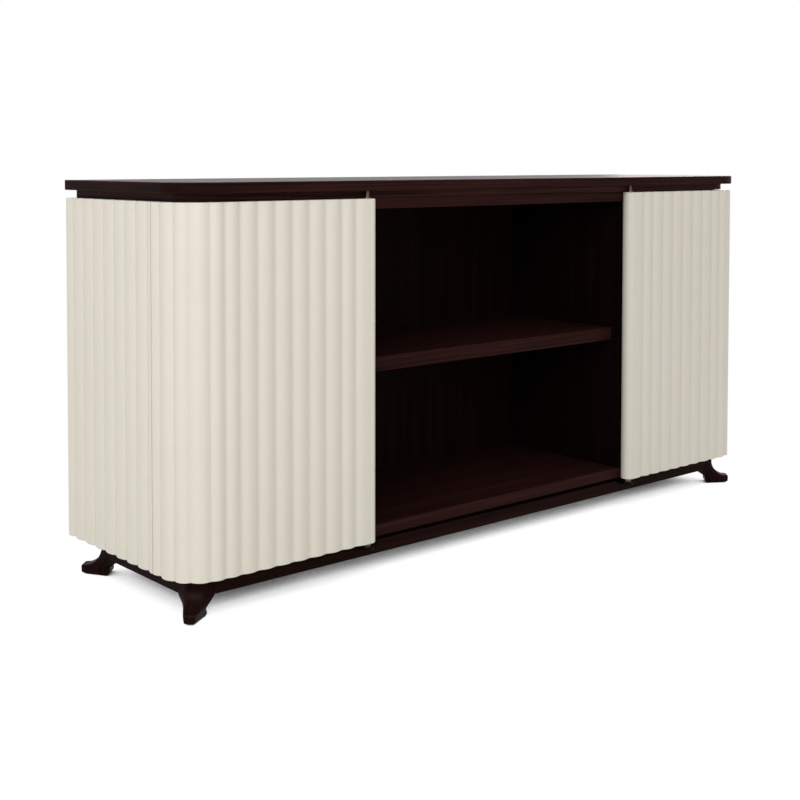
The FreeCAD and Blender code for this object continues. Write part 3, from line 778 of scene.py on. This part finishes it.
def foot_sections(front, back, height):
    """Corners of each level, in order round it: front right, side right, back right, and their mirrors."""
    flare = np.interp(height, flare_z, flare_shares)
    wedge = (tip_half + (heel_half - tip_half) * (toe_reach - front) / (toe_reach + heel_reach)) * flare
    facet_half = np.interp(height, [toe_height, sweep_z], [toe_top_half, facet * slant])
    front_half = np.minimum(wedge, facet_half) * np.interp(height, bevel_z, bevel_shares)
    side = np.interp(height, [taper_z, rail_low.z], [-heel_reach / 2, (facet - block) * slant])
    side_half = np.interp(height, [taper_z, rail_low.z], [waist_half, block * slant]) * flare
    back_half = np.interp(height, back_z, back_halves) * flare
    reaches = np.stack([front, side, back], 1)
    right = np.stack([reaches, np.stack([front_half, side_half, back_half], 1)], 2)
    return np.concatenate([right, right[:, ::-1] * np.array([1, -1])], 1)


def soft_corners(corners):
    """Rings whose corners are parabolas (1 - t)^2 * start + 2 * t * (1 - t) * corner + t^2 * end, where
    start and end lie a small cut before and after the corner."""
    before = np.roll(corners, 1, 1) - corners
    after = np.roll(corners, -1, 1) - corners
    before_length = np.linalg.norm(before, axis=2, keepdims=True)
    after_length = np.linalg.norm(after, axis=2, keepdims=True)
    cut = np.repeat([front_cut, back_cut, front_cut], 2)[None, :, None]
    start = corners + before / before_length * np.minimum(cut, cut_limit * before_length)
    end = corners + after / after_length * np.minimum(cut, cut_limit * after_length)
    t = np.linspace(0, 1, bend_points)[None, None, :, None]
    bend = (1 - t) ** 2 * start[:, :, None] + 2 * t * (1 - t) * corners[:, :, None] + t**2 * end[:, :, None]
    return bend.reshape(len(corners), -1, 2)


print("a foot is", round(2 * foot_sections(*foot_levels())[..., 1].max() / mm, 1), "mm across its block")

# %% [markdown]
# ## The four feet
#
# The four feet are one carving, turned to each corner of the base. Each is lofted through its sections, and
# the grain runs upwards, as it has to in a foot that carries weight.

# %% Feet
def foot_patch(tip, forward, across):
    """The lofted foot. tip is the facet's middle in plan, forward and across are the foot's own axes."""
    front, back, height = foot_levels()
    ring = soft_corners(foot_sections(front, back, height))
    plan = np.array(tip) + ring[:, :, :1] * np.array(forward) + ring[:, :, 1:] * np.array(across)
    levels, count = ring.shape[:2]
    z = np.broadcast_to(height[:, None, None], (levels, count, 1))
    points = np.concatenate([plan, z], 2).reshape(-1, 3)
    side_grain = ring_grain(along(ring[-1]), height)[:, :, ::-1]
    n = np.arange(count // 2 - 1)
    lid = np.stack([n, n + 1, count - 2 - n, count - 1 - n], 1)
    top = (levels - 1) * count
    quads = np.concatenate([ring_faces(levels, count), lid + top, lid[:, ::-1]])
    lid_grain = points[quads[-2 * len(lid):]][:, :, :2]
    none = np.zeros((0, 3), int)
    return patch(points, quads, none, np.concatenate([side_grain, lid_grain]), np.zeros((0, 3, 2)))


tip_x = rail_side - facet / 2
tip_rows = {"front": (-1, rail_low.y + facet / 2), "back": (1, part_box("back_rail")[1].y - facet / 2)}
for row, (sy, tip_y) in tip_rows.items():
    for side, sx in (("left", -1), ("right", 1)):
        foot = foot_patch((sx * tip_x, tip_y), (sx * slant, sy * slant), (-sy * slant, sx * slant))
        node = row + "_" + side
        piece(node + "_carved_foot", [foot], solid_wood, "carcass", [node + "_foot"])

# %% [markdown]
# ## Turned fittings
#
# Pins, bushes, washers, magnets and screws are solids of revolution. A profile of radius and height is
# turned about an axis. Blender's Screw modifier does that too, but here the poles can be closed and a
# recess sunk at the same time. The profile of a pin or a disc runs from pole to pole, and that of a bush or
# a washer closes on itself round the hole.

# %% Turning
askew = np.array([0.3, 0.9, 0.31])


def turned(profile, start, axis, hollow=False, count=40, sink=None):
    """The profile (radius, height) turned about an axis from start: radius * cos and radius * sin along two
    directions across the axis, height along it. sink(a, b) lowers what lies above height zero."""
    radius, height = np.array(profile, float).T
    start, axis = np.array(start, float), np.array(axis, float)
    side = np.cross(axis, askew)
    side /= np.linalg.norm(side)
    other = np.cross(axis, side)
    angle = np.linspace(0, 2 * math.pi, count, endpoint=False)
    a, b = radius[:, None] * np.cos(angle), radius[:, None] * np.sin(angle)
    lift = height[:, None] + 0 * a
    if sink is not None:
        lift = lift - sink(a, b) * (height[:, None] > 0)
    points = start + a[..., None] * side + b[..., None] * other + lift[..., None] * axis
    points = points.reshape(-1, 3)
    levels = len(radius)
    quads = ring_faces(levels, count, closed=hollow)
    threes = np.zeros((0, 3), int)
    if not hollow:
        points = np.concatenate([points, [start + axis * lift[0].mean(), start + axis * lift[-1].mean()]])
        i = np.arange(count)
        j = (i + 1) % count
        top = (levels - 1) * count
        low_pole, top_pole = np.full(count, levels * count), np.full(count, levels * count + 1)
        threes = np.concatenate([np.stack([j, i, low_pole], 1), np.stack([top + i, top + j, top_pole], 1)])
    return patch(points, quads, threes, points[quads][:, :, :2], points[threes][:, :, :2])


# %% [markdown]
# ## Round bars and tubes
#
# A pin, a magnet or a steel disc is a round bar with its rims eased, and a bush or a washer is a tube. Every
# fitting of this sideboard apart from its screws and plates is one of the two.

# %% Bars and tubes
end_ring, rim_points = 0.5, 4


def peg(start, end, radius, ease):
    """A round bar whose rims are quarter circles. A smaller ring keeps its flat ends flat."""
    start, end = np.array(start, float), np.array(end, float)
    length = np.linalg.norm(end - start)
    bend = np.linspace(0, math.pi / 2, rim_points)
    rim = np.stack([radius - ease * (1 - np.sin(bend)), ease * (1 - np.cos(bend))], 1)
    far = np.stack([rim[::-1, 0], length - rim[::-1, 1]], 1)
    flat = end_ring * radius
    return turned(np.concatenate([[[flat, 0]], rim, far, [[flat, length]]]), start, (end - start) / length)


def sleeve(start, end, bore, radius, flange=None, flange_depth=0.0):
    """A tube with its rims cut by a hair, and a wider flange over its first part if it has one."""
    ease = hair
    start, end = np.array(start, float), np.array(end, float)
    length = np.linalg.norm(end - start)
    wide = flange or radius
    outline = [(bore, ease), (bore + ease, 0), (wide - ease, 0), (wide, ease)]
    if flange:
        outline += [(wide, flange_depth - ease), (wide - ease, flange_depth), (radius, flange_depth + ease)]
    outline += [(radius, length - ease), (radius - ease, length)]
    outline += [(bore + ease, length), (bore, length - ease)]
    return turned(outline, start, (end - start) / length, hollow=True)


# %% [markdown]
# ## The door pivots
#
# Each door turns on two steel pins, one in the sub-top and one on a plate in the front rail. The pins run in
# flanged bronze bushes in the door's inner edge, and the door stands on a nylon washer. The bores are drawn a
# little wide, because two round meshes with flat sides would touch as one turns in the other.

# %% Pivots
pin_radius, bore_radius, pin_ease = 4.0 * mm, 4.3 * mm, 0.5 * mm
bush_radius, bush_length = 6.0 * mm, 22.0 * mm
flange_radius, flange_depth, washer_radius = 7.0 * mm, 2.5 * mm, 8.5 * mm


def on_pivots(z):
    """The points of the right and the left pivot axis at a height."""
    right_point = np.array([pivot[0], pivot[1], z])
    return [right_point, right_point * [-1, 1, 1]]


for node in ("top_pivot_pins", "bottom_pivot_pins"):
    low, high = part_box(node)
    pegs = [peg(*ends, pin_radius, pin_ease) for ends in zip(on_pivots(low.z), on_pivots(high.z))]
    piece(node + "_turned", pegs, dull_steel, "carcass", [node])

for side, sign in (("right", 1), ("left", -1)):
    node, body = side + "_door_bushes", side + "_door"
    low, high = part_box(node)
    axis = [sign * pivot[0], pivot[1]]
    upper_end = axis + [high.z - flange_depth - bush_length]
    upper = sleeve(axis + [high.z], upper_end, bore_radius, bush_radius, flange_radius, flange_depth)
    lower_end = axis + [door_low[2] + bush_length]
    lower = sleeve(axis + [low.z], lower_end, bore_radius, bush_radius, flange_radius, door_low[2] - low.z)
    piece(side + "_bushes_turned", [upper, lower], bronze, body, [node])

low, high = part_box("thrust_washers")
washer_ends = zip(on_pivots(low.z), on_pivots(high.z))
washers = [sleeve(*ends, bore_radius, washer_radius) for ends in washer_ends]
piece("thrust_washers_turned", washers, nylon, "carcass", ["thrust_washers"])

# %% [markdown]
# ## Pivot plates and door magnets
#
# The bottom pivots stand on steel tongues let into the front rail. Disc magnets in the carcass sides and
# steel strikes in the doors keep the doors shut, and stand a hair proud of the wood.

# %% Plates and magnets
low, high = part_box("pivot_plates")
plate_half = 12.0 * mm
plate_side = pivot[0] + plate_half
nose_y = low.y + plate_half
tongue_ease = 0.5 * mm
nose = arc((pivot[0], nose_y), plate_half, 270, 360, nose_points)
tail = arc((plate_side - tongue_ease, high.y - tongue_ease), tongue_ease, 0, 90)
right_edge = np.concatenate([nose, tail, [(pivot[0], high.y)]])
left_edge = right_edge * mirror + np.array([2 * pivot[0], 0])
tongues = [
    soft_panel(right_edge * flip, left_edge * flip, low.z, high.z, tongue_ease, "y") for flip in (1, mirror)
]
piece("pivot_tongues", tongues, black_steel, "carcass", ["pivot_plates"])

low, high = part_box("door_magnets")
disc, magnet_depth, strike_depth = 7.0 * mm, 5.0 * mm, 2.0 * mm
magnet_y = (low.y + high.y) / 2
strike_face = door_high[0] - door_thick
magnets, strikes = [], {"left": [], "right": []}
for z in (low.z + disc, high.z - disc):
    for sign, side in ((1, "right"), (-1, "left")):
        magnet_start, magnet_end = sign * (high.x - magnet_depth), sign * (high.x + hair)
        magnets.append(peg((magnet_start, magnet_y, z), (magnet_end, magnet_y, z), disc, pin_ease))
        strike_start, strike_end = sign * (strike_face + strike_depth), sign * (strike_face - hair)
        strikes[side].append(peg((strike_start, magnet_y, z), (strike_end, magnet_y, z), disc, hair))
piece("door_magnet_discs", magnets, nickel, "carcass", ["door_magnets"])
for side in ("left", "right"):
    piece(side + "_strike_discs", strikes[side], steel, side + "_door", [side + "_door_strikes"])

# %% [markdown]
# ## Screws
#
# Screws under the sub-top hold the slab, screws from inside the cupboards hold the reeded sides, and two
# hold each pivot plate. All are countersunk wood screws with a cross, where either of two bars lowers the
# turned head. Each row is worked out from the box of its CAD node, half a head in from the box's sides.

# %% Screws
screw_head, screw_shank, head_depth, point_length = 4.0 * mm, 2.0 * mm, 2.4 * mm, 4.0 * mm
bar_half, bar_reach, bar_depth = 0.45 * mm, 2.0 * mm, 0.9 * mm
dome_shares = np.linspace(0.06, 0.92, 14)
slab_pairs, side_pairs = 5, 3


def cross_recess(a, b):
    """Depth of a cross of two bars with sloped walls."""

    def bar(p, q):
        across_it = np.clip((bar_half - abs(p)) / hair + 0.5, 0, 1)
        return across_it * np.clip((bar_reach - abs(q)) / hair + 0.5, 0, 1)

    return bar_depth * np.maximum(bar(a, b), bar(b, a))


def screw(head, way, length):
    """A countersunk wood screw driven along way. At the share r of its radius, the domed head stands proud
    of the wood by 2 - r^2 hairs."""
    dome = [(r * screw_head, hair * (2 - r**2)) for r in dome_shares]
    shank = [(screw_shank, -head_depth), (screw_shank, point_length - length), (hair, -length)]
    return turned(dome + [(screw_head, 0)] + shank, head, -np.array(way), count=48, sink=cross_recess)


low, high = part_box("slab_screws")
slab_columns = np.linspace(low.x + screw_head, high.x - screw_head, slab_pairs)
slab_rows = (low.y + screw_head, high.y - screw_head)
heads = [screw((x, y, low.z), (0, 0, 1), high.z - low.z) for x in slab_columns for y in slab_rows]
piece("slab_screws_driven", heads, steel, "carcass", ["slab_screws"])

low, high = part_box("side_screws")
inner_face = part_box("right_carcass_side")[0].x
side_levels = np.linspace(low.z + screw_head, high.z - screw_head, side_pairs)
side_rows = (low.y + screw_head, high.y - screw_head)
heads = [
    screw((sign * inner_face, y, z), (sign, 0, 0), high.x - inner_face)
    for sign in (1, -1) for y in side_rows for z in side_levels
]
piece("side_screws_driven", heads, steel, "carcass", ["side_screws"])

low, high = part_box("plate_screws")
plate_rows = (low.y + screw_head, high.y - screw_head)
plate_places = [(sign * pivot[0], y, high.z) for sign in (1, -1) for y in plate_rows]
heads = [screw(place, (0, 0, -1), high.z - low.z) for place in plate_places]
piece("plate_screws_driven", heads, black_steel, "carcass", ["plate_screws"])

# %% [markdown]
# ## Shelf pins
#
# A shelf that lifts out lies on four short steel pins, half let into the walls. They are round bars with
# eased ends, and their places come from the walls and from the box of the node.

# %% Shelf pins
pin_half, pin_reach = 3.0 * mm, 8.0 * mm


def shelf_pins(node, walls):
    """Pins half let into walls, given as (x, way out of the wall)."""
    low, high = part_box(node)
    z = (low.z + high.z) / 2
    pegs = [
        peg((x - way * pin_reach, y, z), (x + way * pin_reach, y, z), pin_half, fine_ease)
        for x, way in walls for y in (low.y + pin_half, high.y - pin_half)
    ]
    piece(node + "_turned", pegs, steel, "carcass", [node])


shelf_pins("bay_shelf_pins", [(bay_half, -1), (-bay_half, 1)])
shelf_pins("cupboard_shelf_pins", [(divider_far, 1), (inner_face, -1), (-divider_far, -1), (-inner_face, 1)])

# %% [markdown]
# ## Hidden joinery
#
# The dowels and the foot bolts are inside the wood, and their CAD solids are the right shape already. They
# stay as they are and only take a finish.

# %% Dowels and bolts
for node, look in (("rail_dowels", beech), ("foot_bolts", steel)):
    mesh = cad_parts[node].data
    mesh.materials.clear()
    mesh.materials.append(look)
    print(node, "takes", look.name)

# %% [markdown]
# ## A white room
#
# The photograph is a studio shot on white, and most of its light comes from all round. So the world is the
# main lamp, a little warm and less than white. A camera ray, or one that a gloss mirrors, sees plain white
# instead, because a room bright enough to look white would put too much light on the lacquer.

# %% White room
room_light, room_colour, white = 0.66, (1, 0.974, 0.948, 1), (1, 1, 1, 1)


def seen_or_mirrored(nodes):
    """1 for a ray from the camera or one that a gloss mirrors, and 0 for a ray that gathers light."""
    camera_ray, glossy_ray, clear_ray = (
        nodes.add("ShaderNodeLightPath", out=kind)
        for kind in ("Is Camera Ray", "Is Glossy Ray", "Is Transmission Ray")
    )
    return (camera_ray + glossy_ray + clear_ray).clipped()


def white_room():
    """The world lights the object plainly, and is white where it is seen or mirrored."""
    nodes = Nodes(bpy.context.scene.world)
    shown = nodes.add("ShaderNodeBackground", {}, {"Color": white, "Strength": 1.0})
    light = nodes.add("ShaderNodeBackground", {}, {"Color": room_colour, "Strength": room_light})
    mixed = nodes.add("ShaderNodeMixShader", {}, {0: seen_or_mirrored(nodes), 1: light, 2: shown})
    nodes.add("ShaderNodeOutputWorld", {}, {"Surface": mixed})


if bpy.context.scene.world is None:
    bpy.context.scene.world = bpy.data.worlds.new("studio")
white_room()
print("room light", room_light)

# %% [markdown]
# ## The floor and its shadow
#
# The floor shows as plain white too, except close under the rails and feet, where the photograph keeps a
# soft shadow. An ambient occlusion node measures how much of the sky the object covers there, and lets the
# matte floor with its shadow through. The floor lies a hair low, so that no sole shares its plane.

# %% Floor
floor_grey, floor_reach = (0.62, 0.62, 0.62, 1), 30.0


def white_floor(sky_reach, dark_sky, white_sky):
    """A matte pale floor that is plain white where it is seen or mirrored, except close under the object,
    where little of the sky within sky_reach is open. There the matte floor and its shadow show."""
    material = bpy.data.materials.new("studio_floor")
    nodes = Nodes(material)
    sky = nodes.add("ShaderNodeAmbientOcclusion", {"samples": 16}, {"Distance": sky_reach}, out="AO")
    white_share = ((sky - dark_sky) * (1 / (white_sky - dark_sky))).clipped() * seen_or_mirrored(nodes)
    matte = nodes.add("ShaderNodeBsdfDiffuse", {}, {"Color": floor_grey})
    plain = nodes.add("ShaderNodeEmission", {}, {"Color": white, "Strength": 1.0})
    mixed = nodes.add("ShaderNodeMixShader", {}, {0: white_share, 1: matte, 2: plain})
    nodes.add("ShaderNodeOutputMaterial", {}, {"Surface": mixed})
    return material


floor_signs = ((-1, -1), (1, -1), (1, 1), (-1, 1))
floor_mesh = bpy.data.meshes.new("studio_floor")
floor_corners = [(sx * floor_reach, sy * floor_reach, -hair) for sx, sy in floor_signs]
floor_mesh.from_pydata(floor_corners, [], [(0, 1, 2, 3)])
floor_mesh.materials.append(white_floor(sky_reach=0.25, dark_sky=0.06, white_sky=0.24))
floor = bpy.data.objects.new("studio_floor", floor_mesh)
bpy.context.scene.collection.objects.link(floor)
print("floor", 2 * floor_reach, "m wide")

# %% [markdown]
# ## Soft lamps
#
# Four large square lamps give the light its direction: the main one on the left, which models the reeds, one
# above, and weaker ones in front and on the right. Large lamps have soft edges, as a studio's softboxes do.

# %% Lamps
def softbox(name, place, target, size, power, colour=(1, 1, 1)):
    """A square lamp at a place, facing a target."""
    lamp = bpy.data.lights.new(name, "AREA")
    lamp.size = size
    lamp.energy = power
    lamp.color = colour
    thing = bpy.data.objects.new(name, lamp)
    thing.location = place
    thing.rotation_euler = (Vector(target) - Vector(place)).to_track_quat("-Z", "Y").to_euler()
    bpy.context.scene.collection.objects.link(thing)
    print(name, power, "W")


softbox("key_softbox", (-3.02, -2.1, 2.1), (-0.6, 0, 0.4), size=1.8, power=53, colour=(0.985, 1, 0.985))
softbox("fill_softbox", (-2.0, -3.8, 2.3), (-0.2, 0, 0.4), size=3.0, power=9, colour=(1, 0.975, 0.955))
softbox("top_softbox", (0.0, 0.2, 3.4), (0, 0, 0.5), size=2.6, power=25)
softbox("side_softbox", (3.3, 1.2, 1.7), (0.8, 0.1, 0.4), size=1.8, power=22, colour=(1, 0.94, 0.88))

# %% [markdown]
# ## Camera
#
# The upright edges stay almost upright in the photograph, so the camera was nearly level and its lens was
# shifted down. The place and the angles come from matching the corners of the doors, the slab and the bay.

# %% Camera
yaw, tilt, roll = (math.radians(a) for a in (39.888, 2.302, 0.009))
camera_place = (-1.95594, -2.05252, 0.79215)
focal_px, centre_px, image_px = 1300.08, (361.46, 213.19), 800
film_width = 36.0
ahead = Vector((math.sin(yaw) * math.cos(tilt), math.cos(yaw) * math.cos(tilt), -math.sin(tilt)))
level_right = Vector((math.cos(yaw), -math.sin(yaw), 0))
level_up = level_right.cross(ahead)
right = math.cos(roll) * level_right + math.sin(roll) * level_up
up = math.cos(roll) * level_up - math.sin(roll) * level_right
lens = bpy.data.cameras.new("camera")
lens.sensor_width = film_width
lens.lens = film_width * focal_px / image_px
lens.shift_x = 0.5 - centre_px[0] / image_px
lens.shift_y = centre_px[1] / image_px - 0.5
camera = bpy.data.objects.new("camera", lens)
camera.location = camera_place
camera.rotation_euler = Matrix((right, up, -ahead)).transposed().to_euler()
bpy.context.scene.collection.objects.link(camera)
bpy.context.scene.camera = camera
bpy.context.scene.view_settings.view_transform = "Standard"
print("lens", round(lens.lens, 2), "mm")
